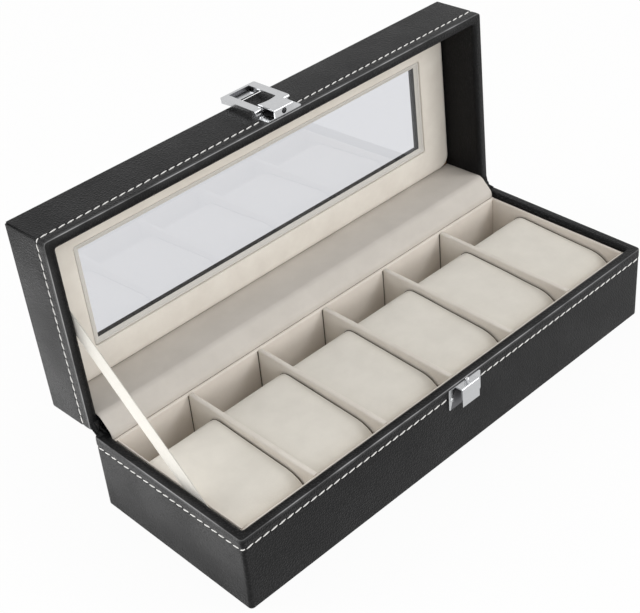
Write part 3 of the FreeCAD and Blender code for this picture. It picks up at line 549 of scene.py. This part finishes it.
def baseLinings():
    ribbon = restBox("lid_ribbon")[1].x + padding["ribbonGap"]
    for seed, wall in enumerate(("front", "back", "left", "right")):
        low, high = restBox(wall + "_lining")
        if wall == "left":  # the ribbon's end goes down behind it
            low.x = ribbon + padding["swell"] + padding["uneven"]
        paddedSlab(wall + "_wall_lining", low, high, padding["topRound"], wall + "_lining", seed=seed)
    low, high = restBox("floor_lining")
    paddedSlab("floor_pad", low, high, padding["floorRound"], "floor_lining", seed=5)
    ends = Vector((0, padding["gap"], 0))
    for i in range(1, compartments):
        low, high = restBox(f"divider_{i}")
        # The dividers take the paler panel velvet, a lighter copy that stands in for the light on their
        # tops.
        paddedSlab(f"divider_card_{i}", low + ends, high - ends, padding["dividerRound"], f"divider_{i}",
                   seed=10 + i, cloth=panelVelvet)


# Painted seam shadows of the back lining: a dark cord along its top behind, and one down each side of every
# divider.
seam_shadows = {"thread": 0.22, "in": 1, "behind": 0.1, "below": 0.5, "beside": 0.1, "before": 0.25, "down": 1,
         "foot": 8}


def liningSeamShadows():
    low, high = restBox("back_lining")
    y, z = high.y - seam_shadows["behind"], high.z - seam_shadows["below"]
    runs = [[(low.x + seam_shadows["in"], y, z), (high.x - seam_shadows["in"], y, z)]]
    y = low.y - seam_shadows["before"]
    for i in range(1, compartments):
        left, right = restBox(f"divider_{i}")
        for x in (left.x - seam_shadows["beside"], right.x + seam_shadows["beside"]):
            runs.append([(x, y, high.z - seam_shadows["down"]), (x, y, seam_shadows["foot"])])
    shadowCords("lining_seam_shadows", runs, seam_shadows["thread"], False, "base")


baseLinings()
liningSeamShadows()
print("linings and dividers made")


# Cushions: a band of velvet round a firm block, sewn to two end panels, blown up by the cloth solver.
pillow = {"crown": 1.0, "ends": 0.05, "front": 0.5, "back": 1.2, "slope": 0.04, "frontRound": 17,
          "backRound": 9, "footRound": 3, "cell": 3.6, "snap": 0.6, "seamAngle": 1.2, "endFace": 0.9,
          "crease": 0.8, "pressure": 8.0, "frames": 20, "cap": 1.0, "endSwell": 0.3, "uneven": 0.25,
          "wave": 22, "seedStep": 9.1, "seam": 0.2}


def cushionStart(i):
    low, high = restBox(f"cushion_{i}_cover")
    low += Vector((pillow["ends"], pillow["front"], 0))
    high += Vector((-pillow["ends"], pillow["back"], -pillow["crown"]))
    size, centre = high - low, (low + high) / 2
    bm = bmesh.new()
    bmesh.ops.create_cube(bm, size=1, matrix=Matrix.Translation(centre) @ Matrix.Diagonal((*size, 1)))
    corners = ((low.y, high.z, "frontRound", 7), (high.y, high.z, "backRound", 5),
               (low.y, low.z, "footRound", 2), (high.y, low.z, "footRound", 2))
    for y, z, radius, segments in corners:
        edge = [e for e in bm.edges
                if all(abs(v.co.y - y) < near and abs(v.co.z - z) < near for v in e.verts)]
        roundOff(bm, edge, pillow[radius], segments)
    for axis in range(3):
        count = round(size[axis] / pillow["cell"])
        normal = [0, 0, 0]
        normal[axis] = 1
        for k in range(1, count):
            spot = low.copy()
            spot[axis] += size[axis] * k / count
            bmesh.ops.bisect_plane(bm, geom=bm.verts[:] + bm.edges[:] + bm.faces[:], dist=pillow["snap"],
                                   plane_co=spot, plane_no=normal)
    bm.normal_update()
    crease = bm.edges.layers.float.new("crease_edge")
    seam = [e for e in bm.edges if e.calc_face_angle(0) > pillow["seamAngle"]
            and any(abs(f.normal.x) > pillow["endFace"] for f in e.link_faces)]
    for e in seam:
        e[crease] = pillow["crease"]
    held = sorted({v.index for e in seam for v in e.verts})
    aside = Vector((i * pillow["seedStep"], 0, 0))
    for v in bm.verts:  # the top falls a little to the front
        rise = (v.co.z - low.z) / size.z
        v.co.z -= pillow["slope"] * (high.y - v.co.y) * rise
        v.co.z += noise.noise(aside + v.co / pillow["wave"]) * pillow["uneven"] * rise
    bm.verts.index_update()
    loops = seamLoops(seam)
    piece = makePiece(f"cushion_{i}_velvet", bm, cushionVelvet, None, sharp=70)
    group = piece.vertex_groups.new(name="seam")
    group.add(held, 1.0, "REPLACE")
    return piece, loops


def seamLoops(edges):
    # The two sewn edges as closed runs of points.
    left = set(edges)
    loops = []
    while left:
        edge = left.pop()
        start, spot = edge.verts
        points = [start.co.copy(), spot.co.copy()]
        while True:
            onward = next((e for e in spot.link_edges if e in left), None)
            if onward is None:
                break
            left.remove(onward)
            spot = onward.other_vert(spot)
            points.append(spot.co.copy())
        loops.append(points[:-1])
    return loops


def blowUp(pieces):
    for piece in pieces:
        cloth = piece.modifiers.new("cloth", "CLOTH")
        cloth.settings.quality = 6
        cloth.settings.use_pressure = True
        cloth.settings.uniform_pressure_force = pillow["pressure"]
        cloth.settings.effector_weights.gravity = 0
        cloth.settings.vertex_group_mass = "seam"
        cloth.point_cache.frame_end = pillow["frames"]
    for step in range(1, pillow["frames"] + 1):
        scene.frame_set(step)
    graph = bpy.context.evaluated_depsgraph_get()
    for piece in pieces:
        swollen = bpy.data.meshes.new_from_object(piece.evaluated_get(graph))
        floor = min(v.co.z for v in piece.data.vertices)
        most = 0
        for v, grown in zip(piece.data.vertices, swollen.vertices):
            move = grown.co - v.co
            most = max(most, move.length / mm)
            if move.length:
                move *= math.tanh(move.length / (pillow["cap"] * mm)) * pillow["cap"] * mm / move.length
            move.x *= pillow["endSwell"]  # the end panels stay clear of the dividers
            v.co += move
            v.co.z = max(v.co.z, floor)
        piece.modifiers.clear()
        print("cushion swelled by up to", round(most, 2), "mm before the cap")
    scene.frame_set(1)


def cushions():
    made = [cushionStart(i) for i in range(1, compartments + 1)]
    blowUp([piece for piece, loops in made])
    for i, (piece, loops) in enumerate(made, start=1):
        refine(piece)
        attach(piece, f"cushion_{i}")
        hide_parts(f"cushion_{i}_cover", f"cushion_{i}_foam")
        # Dark cords along the two sewn edges: painted shadow of the gap at each seam.
        shadowCords(f"cushion_{i}_seams", loops, pillow["seam"], True, f"cushion_{i}")


cushions()
print("cushions made")


# Lid panel: a padded velvet frame round the window, its outer edges rolled away to the walls. lipRound gives
# the lip's rings as out, rise and wider corner. cuts gives the axis, the count and the shortest edge cut.
panel = {"corner": 7, "inner": 1.2, "crown": 0.2, "crownInset": 6, "crownCorner": 3, "rollDepth": 2.4,
         "roll": 5.5, "rollAngles": (1.57, 1.2, 0.85, 0.5, 0.2), "lip": 0.6, "gap": 0.25, "clothRoom": 0.9,
         "slit": 0.45, "backGap": 0.05, "lipRound": ((0.2, 0.15, 0.2), (0.7, 0, 0.6)),
         "cuts": ((0, 47, 40), (1, 15, 30))}


def lidPanel():
    low, high = shutBox("lid_lining_panel")
    window = shutBox("window_bezel")[1]
    inX, inY = window.x + panel["slit"], window.y - lidMiddle.y + panel["slit"]
    outX, outY = halfX - rimWidth - panel["gap"], halfY - rimWidth - panel["gap"]
    back, face = high.z - panel["backGap"], low.z
    corner, inner, crowned = panel["corner"], panel["inner"], panel["crownInset"]
    roll, deep = panel["roll"], panel["rollDepth"]
    arcs = [(roll * (1 - math.sin(a)), deep * (1 - math.cos(a))) for a in panel["rollAngles"]]
    rings = [
        (inX, inY, back, inner),
        (inX, inY, face + panel["lip"], inner),
        *[(inX + out, inY + out, face + rise, inner + wider) for out, rise, wider in panel["lipRound"]],
        (inX + crowned, inY + crowned, face - panel["crown"], panel["crownCorner"]),
        *[(outX - inset, outY - inset, face + rise, corner) for inset, rise in reversed(arcs)],
        (outX, outY, back, corner),
    ]
    bm = loftRings(rings, closed=True)[0]
    for axis, count, least in panel["cuts"]:
        cutAlong(bm, axis, count, least)
    for v in bm.verts:  # the hinge side leaves room for the hinge cloth
        v.co.y -= panel["clothRoom"] * max(0.0, (v.co.y - inY) / (outY - inY))
    bmesh.ops.translate(bm, vec=lidMiddle, verts=bm.verts)
    bmesh.ops.recalc_face_normals(bm, faces=bm.faces)
    piece = makePiece("lid_velvet_panel", bm, panelVelvet, "lid", sharp=60, onLid=True)
    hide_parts("lid_lining_panel")


# Bezel: a covered strip, level with the panel outside and sloping to the glass, set a little to one corner.
bezel = {"flat": 1.0, "step": 0.5, "stepRun": 0.3, "wide": 2.9, "thin": 0.35, "ease": 0.2, "sunk": 0.1,
         "corner": 0.8, "cornerFall": 8, "aside": (-0.4, -0.4, 0)}


def windowBezel():
    low, high = shutBox("window_bezel")
    top = shutBox("lid_lining_panel")[0].z + bezel["sunk"]
    profile = [(0, high.z), (0, top + bezel["ease"]), (bezel["ease"], top), (bezel["flat"], top),
               (bezel["flat"] + bezel["stepRun"], top + bezel["step"]),
               (bezel["wide"], high.z - bezel["thin"]), (bezel["wide"], high.z)]
    rings = [(high.x - inset, high.y - lidMiddle.y - inset, z, bezel["corner"] - inset / bezel["cornerFall"])
             for inset, z in profile]
    bm = loftRings(rings, closed=True)[0]
    bmesh.ops.translate(bm, vec=lidMiddle + Vector(bezel["aside"]), verts=bm.verts)
    bmesh.ops.recalc_face_normals(bm, faces=bm.faces)
    piece = makePiece("window_bezel_card", bm, coveredCard, "lid", onLid=True)
    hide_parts("window_bezel")


lidPanel()
windowBezel()
print("lid lining made")


# Hinge cloth, spine and ribbon: strips drawn between the base and the open lid.
strip = {"flat": 4, "cuts": 4}  # runs longer than flat millimetres are cut


def profileStrip(spots, bends, start, end, cuts):
    # A polyline across the hinge, its corners rounded, drawn out along X.
    bm = bmesh.new()
    verts = [bm.verts.new((start, y, z)) for y, z in spots]
    for pair in zip(verts, verts[1:]):
        bm.edges.new(pair)
    for v, (radius, segments) in zip(verts[1:-1], bends):
        if radius:
            bmesh.ops.bevel(bm, geom=[v], offset=radius, offset_type="OFFSET", segments=segments,
                            profile=0.5, affect="VERTICES", material=-1)
    flats = [e for e in bm.edges if e.calc_length() > strip["flat"]]
    bmesh.ops.subdivide_edges(bm, edges=flats, cuts=strip["cuts"])
    made = bmesh.ops.extrude_edge_only(bm, edges=bm.edges[:])
    moved = [item for item in made["geom"] if isinstance(item, bmesh.types.BMVert)]
    bmesh.ops.translate(bm, vec=(end - start, 0, 0), verts=moved)
    cutAlong(bm, 0, cuts, 1)
    return bm


def openSpot(y, z):
    spot = openLid @ Vector((0, y, z))
    return spot.y, spot.z


# Bends are given as a radius and a count of segments.
hingeCloth = {"cloth": 0.8, "rimBend": (1.6, 4), "lidBend": (1.8, 5), "clear": 0.5, "tuckIn": 2.6,
              "cuts": 95, "uneven": 0.1, "wave": 24}


def hingeLining():
    low, high = restBox("hinge_lining")
    lidWall = lidMiddle.y + halfY - rimWidth
    face = shutBox("lid_lining_panel")[0].z
    baseWall = halfY - rimWidth
    clear = hingeCloth["clear"]
    spots = [(baseWall, low.z), (baseWall, baseHigh.z + clear), openSpot(lidWall, lidLow.z - clear),
             openSpot(lidWall, face + hingeCloth["tuckIn"])]
    bends = [hingeCloth["rimBend"], hingeCloth["lidBend"]]
    bm = profileStrip(spots, bends, low.x, high.x, hingeCloth["cuts"])
    bmesh.ops.recalc_face_normals(bm, faces=bm.faces)
    if sum(f.normal.y for f in bm.faces) > 0:  # the velvet side faces the front
        bmesh.ops.reverse_faces(bm, faces=bm.faces[:])
    for v in bm.verts:
        v.co.z += noise.noise(v.co / hingeCloth["wave"]) * hingeCloth["uneven"]
    piece = makePiece("hinge_cloth", bm, shadedHingeVelvet, None, sharp=80)
    thicken(piece, -hingeCloth["cloth"])
    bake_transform(piece)
    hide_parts("hinge_lining")


spineLook = {"leather": 0.75, "segments": 10, "cuts": 140}


def hingeSpine():
    low, high = restBox("hinge_spine")
    setback = hinge.y - halfY
    spots = [(halfY, low.z), (halfY, hinge.z)]
    for k in range(1, spineLook["segments"] + 1):
        a = math.pi - openAngle * k / spineLook["segments"]
        spots.append((hinge.y + setback * math.cos(a), hinge.z + setback * math.sin(a)))
    spots.append(openSpot(-setback, hinge.z - low.z))
    bm = profileStrip(spots, [(0, 0)] * len(spots), low.x, high.x, spineLook["cuts"])
    bmesh.ops.recalc_face_normals(bm, faces=bm.faces)
    if sum(f.normal.y for f in bm.faces) < 0:  # the leather's grain side faces the back
        bmesh.ops.reverse_faces(bm, faces=bm.faces[:])
    piece = makePiece("hinge_spine_leather", bm, leather, None, sharp=80)
    thicken(piece, -spineLook["leather"])
    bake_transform(piece)
    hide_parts("hinge_spine")


# Tucks: the leather crumples where the spine ends between the two rims.
tuck = {"from": (51.3, 45.05), "over": (55.0, 46.3), "to": (56.55, 50.5), "bend": (1.5, 4), "inner": 144.0,
        "outer": 149.4, "cuts": 26, "crumple": 0.9, "wave": 1.5, "lift": 0.3, "way": (0, -0.7, 0.7),
        "leather": 0.5}


def hingeTuck(side):
    start, end = sorted((side * tuck["inner"], side * tuck["outer"]))
    spots = [tuck["from"], tuck["over"], tuck["to"]]
    bm = profileStrip(spots, [tuck["bend"]], start, end, tuck["cuts"])
    bmesh.ops.recalc_face_normals(bm, faces=bm.faces)
    if sum(f.normal.z for f in bm.faces) < 0:
        bmesh.ops.reverse_faces(bm, faces=bm.faces[:])
    for v in bm.verts:
        lift = noise.noise(v.co / tuck["wave"]) * tuck["crumple"]
        v.co += Vector(tuck["way"]) * (lift + tuck["lift"])
    piece = makePiece("hinge_tuck_" + ("right" if side > 0 else "left"), bm, leather, None, sharp=80)
    thicken(piece, tuck["leather"])
    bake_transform(piece)


# The ribbon's ends are given as millimetres from the front of the base or lid and inside its rim.
ribbonLook = {"width": 10.0, "tail": 9.0, "cuts": 60, "across": 4, "twist": -2, "baseEnd": (36.5, 3.6),
              "lidEnd": (47.0, 3.4)}


def stayRibbon():
    low, high = restBox("lid_ribbon")
    width, tail = ribbonLook["width"], ribbonLook["tail"]
    along, inside = ribbonLook["baseEnd"]
    baseEnd = Vector((0, along - halfY, baseHigh.z - inside))
    along, inside = ribbonLook["lidEnd"]
    lidEnd = openLid @ Vector((0, lidLow.y + along, lidLow.z + inside))
    way = (lidEnd - baseEnd).normalized()
    length = (lidEnd - baseEnd).length + 2 * tail
    middle = (baseEnd + lidEnd) / 2
    middle.x = (low.x + high.x) / 2
    across = Vector((0, -way.z, way.y))
    turn = Matrix((across, way, across.cross(way))).transposed().to_4x4()
    bm = bmesh.new()
    bm.loops.layers.uv.verify()
    bmesh.ops.create_grid(bm, x_segments=ribbonLook["across"], y_segments=ribbonLook["cuts"], size=0.5,
                          calc_uvs=True)
    for v in bm.verts:  # it turns a little about its own length between the walls
        twist = math.radians(ribbonLook["twist"]) * math.cos(math.pi * v.co.y) ** 2
        v.co = Vector((width * v.co.x * math.cos(twist), length * v.co.y, width * v.co.x * math.sin(twist)))
    bmesh.ops.transform(bm, matrix=Matrix.Translation(middle) @ turn, verts=bm.verts)
    piece = makePiece("stay_ribbon", bm, ribbonSatin, None)
    thicken(piece, high.x - low.x)
    piece.modifiers["thickness"].offset = 0
    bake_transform(piece)
    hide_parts("lid_ribbon")


hingeLining()
hingeSpine()
hingeTuck(-1)
hingeTuck(1)
stayRibbon()
print("hinge strips and ribbon made")


# Parts that keep their CAD shape take a finish of their own.
finishes = {chrome: ("catch_bracket", "catch_pip", "catch_rivets", "clasp_body", "clasp_pin", "clasp_rivets",
                     "clasp_bail"),
            glass: ("window_pane",),
            felt: ("underside_felt",),
            fibreboard: [name for name in frame["nodes"] if name.endswith("_board")]}
for material, names in finishes.items():
    for name in names:
        slots = frame["nodes"][name].data.materials
        slots.clear()
        slots.append(material)


# Folds, in millimetres: face to face, hinge to lip, and a ray's start off its face. facing is a cosine.
folds = {"reach": 9, "lip": 15, "off": 0.05, "facing": 0.8}


def paintFoldShade(name, joint=None):
    # Faces that look at another face of the same pressing, or back at its hinge, are inside a fold: painted
    # shade.
    mesh = frame["nodes"][name].data
    tree = BVHTree.FromPolygons([v.co for v in mesh.vertices], [p.vertices for p in mesh.polygons])
    mesh.materials.append(foldShade)
    for face in mesh.polygons:
        start = face.center + face.normal * folds["off"] * mm
        inside = tree.ray_cast(start, face.normal, folds["reach"] * mm)[0]
        if joint:
            back = Vector(joint["pos_m"]) - face.center
            facing = back.normalized().dot(face.normal) > folds["facing"]
            inside = inside or back.length > folds["lip"] * mm and facing
        face.material_index = 1 if inside else 0


bailHinge = next(joint for joint in frame["joints"] if joint["name"] == "clasp_bail_hinge")
paintFoldShade("catch_bracket")
paintFoldShade("clasp_body")
paintFoldShade("clasp_bail", bailHinge)
print("CAD parts finished")


# Studio: white floor and surround, soft boxes above.
studio = {"surround": 0.66, "floor": "#f2f1ef", "floorHalf": 4, "white": 0.94}
softboxes = [
    # name, place and aim in metres, size, watts
    ("key", (0.77, -0.85, 0.88), (0, 0, 0.05), (0.7, 0.5), 5.2),
    ("front fill", (-0.2, -1.3, 0.3), (0, 0, 0.08), (1.2, 0.5), 3.8),
    ("back left", (-0.7, 0.73, 0.64), (0, 0, 0.05), (0.6, 0.4), 4.2),
    ("floor card", (-0.24, 0.11, 0.002), (-0.24, 0.11, 1), (0.16, 0.34), 0.18),
]


def seenDirectly(tree):
    # 1 for rays from the camera, from gloss and through glass, and 0 for the light that falls on the box.
    rays = addNode(tree, "LightPath")
    shiny = addNode(tree, "Math", {"operation": "MAXIMUM"},
                    {0: rays.outputs["Is Camera Ray"], 1: rays.outputs["Is Glossy Ray"]})
    return addNode(tree, "Math", {"operation": "MAXIMUM"},
                   {0: shiny.outputs[0], 1: rays.outputs["Is Transmission Ray"]}).outputs[0]


def studioFloor():
    bm = bmesh.new()
    bmesh.ops.create_grid(bm, x_segments=1, y_segments=1, size=studio["floorHalf"])
    mesh = bpy.data.meshes.new("studio_floor")
    bm.to_mesh(mesh)
    bm.free()
    floor = bpy.data.objects.new("studio_floor", mesh)
    scene.collection.objects.link(floor)
    material = bpy.data.materials.new("white_paper_sweep")
    material.use_nodes = True
    tree = material.node_tree
    tree.nodes.clear()
    paper = addNode(tree, "BsdfDiffuse", {"Color": hexColour(studio["floor"])})
    glow = addNode(tree, "Emission", {"Strength": 1.0})
    share = addNode(tree, "Math", {"operation": "MULTIPLY", 1: studio["white"]}, {0: seenDirectly(tree)})
    mixed = addNode(tree, "MixShader", None,
                    {0: share.outputs[0], 1: paper.outputs[0], 2: glow.outputs[0]})
    addNode(tree, "OutputMaterial", None, {"Surface": mixed.outputs[0]})
    mesh.materials.append(material)


def surround():
    world = bpy.data.worlds.new("white_surround")
    world.use_nodes = True
    scene.world = world
    tree = world.node_tree
    level = addNode(tree, "MapRange", {"To Min": studio["surround"], "To Max": 1.0},
                    {"Value": seenDirectly(tree)})
    tree.nodes["Background"].inputs["Color"].default_value = (1, 1, 1, 1)
    tree.links.new(level.outputs["Result"], tree.nodes["Background"].inputs["Strength"])


def lamps():
    for name, place, aim, size, watts in softboxes:
        light = bpy.data.lights.new(name, "AREA")
        light.shape = "RECTANGLE"
        light.size, light.size_y = size
        light.energy = watts
        lamp = bpy.data.objects.new(name, light)
        lamp.location = place
        lamp.rotation_euler = (Vector(aim) - Vector(place)).to_track_quat("-Z", "Y").to_euler()
        lamp.visible_camera = False
        scene.collection.objects.link(lamp)


# Camera: fitted to the corners of the box in a frame of 640 by 613 pixels.
view = {"azimuth": -41.1022, "elevation": 35.8264, "roll": -5.6163, "lens": 78.986,
        "place": (-0.40931, -0.42035, 0.49092)}


def camera():
    azimuth, elevation = math.radians(view["azimuth"]), math.radians(view["elevation"])
    towards = Vector((math.sin(azimuth) * math.cos(elevation), -math.cos(azimuth) * math.cos(elevation),
                      math.sin(elevation)))
    data = bpy.data.cameras.new("photo_view")
    data.lens = view["lens"]
    data.sensor_width = 36
    eye = bpy.data.objects.new("photo_view", data)
    eye.location = view["place"]
    level = (-towards).to_track_quat("-Z", "Y")
    eye.rotation_mode = "QUATERNION"
    eye.rotation_quaternion = level @ Quaternion((0, 0, 1), math.radians(view["roll"]))
    data.clip_start, data.clip_end = 0.01, 20
    scene.collection.objects.link(eye)
    scene.camera = eye


studioFloor()
surround()
lamps()
camera()
scene.view_settings.view_transform = "Standard"
print("studio and camera set")
